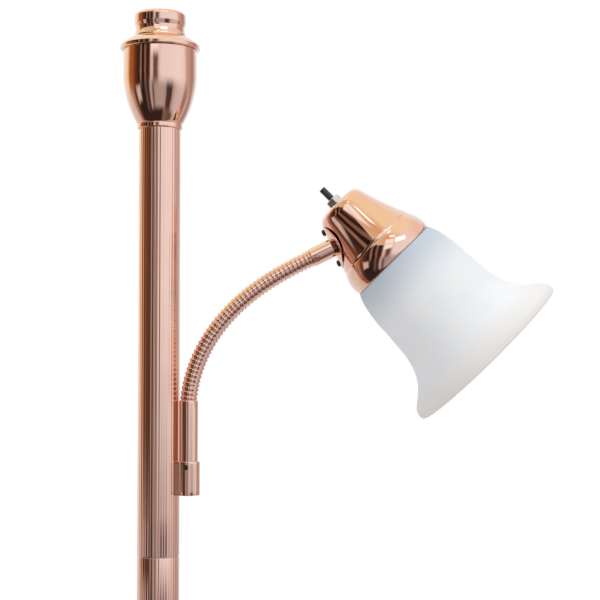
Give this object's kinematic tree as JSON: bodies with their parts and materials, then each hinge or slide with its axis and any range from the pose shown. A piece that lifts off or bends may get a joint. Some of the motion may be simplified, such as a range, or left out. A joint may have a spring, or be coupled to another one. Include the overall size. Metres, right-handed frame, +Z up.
{
  "type": "floor lamp",
  "caption": "Copper-plated floor lamp with a reeded pole, an urn and socket drum for an uplight bowl on top, and a reading lamp with a frosted bell glass on a bendable gooseneck.",
  "frame": {"origin": "on the floor at the pole's axis", "axes": "+Z up along the pole, +X the way the reading lamp's arm bends, -Y the side with the hub's grub screw"},
  "size_m": [0.4677, 0.282, 1.5745],
  "materials": {
    "copper_plate": "polished copper plating on steel",
    "cast_iron": "raw casting",
    "felt": "pressed felt",
    "rubber": "matt moulded rubber",
    "steel": "zinc plated",
    "nickel": "satin nickel plating",
    "black_steel": "black oxide",
    "holder_plastic": "moulded phenolic",
    "knob_plastic": "moulded, slightly glossy",
    "brass": "pressed sheet",
    "frosted_glass": "acid-frosted, with a soft bluish cast"
  },
  "bodies": {
    "stand": {"base_cover": "copper_plate", "foot_collar": "copper_plate", "pole_section_1": "copper_plate", "pole_section_2": "copper_plate", "pole_section_3": "copper_plate", "pole_section_4": "copper_plate", "urn_cup": "copper_plate", "brim_cap": "copper_plate", "drum_collar": "copper_plate", "arm_hub": "copper_plate", "lower_ferrule": "copper_plate", "base_weight": "cast_iron", "base_pad": "felt", "cord_grommet": "rubber", "foot_plug": "steel", "top_plug": "steel", "pole_coupler_1": "steel", "pole_coupler_2": "steel", "pole_coupler_3": "steel", "hollow_studs": "steel", "lock_nuts": "steel", "washers": "steel", "hub_nipple": "steel", "hub_grub_screw": "black_steel", "mother_holder": "holder_plastic", "mother_ring": "holder_plastic", "mother_screw_shell": "brass", "mother_contact": "brass", "gooseneck_01": "copper_plate"},
    "link_02": {"gooseneck_02": "copper_plate"},
    "link_03": {"gooseneck_03": "copper_plate"},
    "link_04": {"gooseneck_04": "copper_plate"},
    "link_05": {"gooseneck_05": "copper_plate"},
    "link_06": {"gooseneck_06": "copper_plate"},
    "link_07": {"gooseneck_07": "copper_plate"},
    "link_08": {"gooseneck_08": "copper_plate"},
    "link_09": {"gooseneck_09": "copper_plate"},
    "link_10": {"gooseneck_10": "copper_plate"},
    "link_11": {"gooseneck_11": "copper_plate"},
    "link_12": {"gooseneck_12": "copper_plate"},
    "link_13": {"gooseneck_13": "copper_plate"},
    "head": {"gooseneck_14": "copper_plate", "head_ferrule": "copper_plate", "ferrule_screw": "copper_plate", "ferrule_nut": "steel", "saddle_plate": "copper_plate", "saddle_backing": "steel", "saddle_screws": "black_steel", "lamp_cup": "copper_plate", "switch_body": "holder_plastic", "switch_bushing": "nickel", "switch_nut": "nickel", "carrier_plate": "steel", "daughter_holder": "holder_plastic", "daughter_screw_shell": "brass", "daughter_contact": "brass", "shade_ring": "holder_plastic", "glass_shade": "frosted_glass"},
    "knob": {"switch_knob": "knob_plastic"}
  },
  "joints": [
    {"name": "arm_bend_1", "type": "hinge", "parent": "stand", "child": "link_02", "pos_m": [0.02706, -0.00543, 1.26003], "axis": [0, 1, 0], "range_deg": [-5, 7.5]},
    {"name": "arm_swing_1", "type": "hinge", "parent": "link_02", "child": "link_03", "pos_m": [0.02981, -0.00543, 1.27123], "axis": [0.9575, 0, -0.2884], "range_deg": [-10, 10]},
    {"name": "arm_bend_2", "type": "hinge", "parent": "link_03", "child": "link_04", "pos_m": [0.03369, -0.00543, 1.28208], "axis": [0, 1, 0], "range_deg": [-5, 7.5]},
    {"name": "arm_bend_3", "type": "hinge", "parent": "link_04", "child": "link_05", "pos_m": [0.03862, -0.00543, 1.29251], "axis": [0, 1, 0], "range_deg": [-5, 7.5]},
    {"name": "arm_swing_2", "type": "hinge", "parent": "link_05", "child": "link_06", "pos_m": [0.04451, -0.00543, 1.30242], "axis": [0.8356, 0, -0.5493], "range_deg": [-10, 10]},
    {"name": "arm_bend_4", "type": "hinge", "parent": "link_06", "child": "link_07", "pos_m": [0.05126, -0.00543, 1.31177], "axis": [0, 1, 0], "range_deg": [-5, 7.5]},
    {"name": "arm_bend_5", "type": "hinge", "parent": "link_07", "child": "link_08", "pos_m": [0.05877, -0.00543, 1.32052], "axis": [0, 1, 0], "range_deg": [-5, 7.5]},
    {"name": "arm_swing_3", "type": "hinge", "parent": "link_08", "child": "link_09", "pos_m": [0.06695, -0.00543, 1.32865], "axis": [0.6782, 0, -0.7349], "range_deg": [-10, 10]},
    {"name": "arm_bend_6", "type": "hinge", "parent": "link_09", "child": "link_10", "pos_m": [0.0757, -0.00543, 1.33617], "axis": [0, 1, 0], "range_deg": [-5, 7.5]},
    {"name": "arm_bend_7", "type": "hinge", "parent": "link_10", "child": "link_11", "pos_m": [0.08493, -0.00543, 1.34309], "axis": [0, 1, 0], "range_deg": [-5, 7.5]},
    {"name": "arm_swing_4", "type": "hinge", "parent": "link_11", "child": "link_12", "pos_m": [0.09455, -0.00543, 1.34945], "axis": [0.5285, 0, -0.8489], "range_deg": [-10, 10]},
    {"name": "arm_bend_8", "type": "hinge", "parent": "link_12", "child": "link_13", "pos_m": [0.10449, -0.00543, 1.35531], "axis": [0, 1, 0], "range_deg": [-5, 7.5]},
    {"name": "arm_bend_9", "type": "hinge", "parent": "link_13", "child": "head", "pos_m": [0.11466, -0.00543, 1.36074], "axis": [0, 1, 0], "range_deg": [-5, 7.5]},
    {"name": "switch_turn", "type": "hinge", "parent": "head", "child": "knob", "pos_m": [0.14879, -0.00543, 1.41235], "axis": [0.7071, 0, -0.7071], "continuous": true}
  ]
}
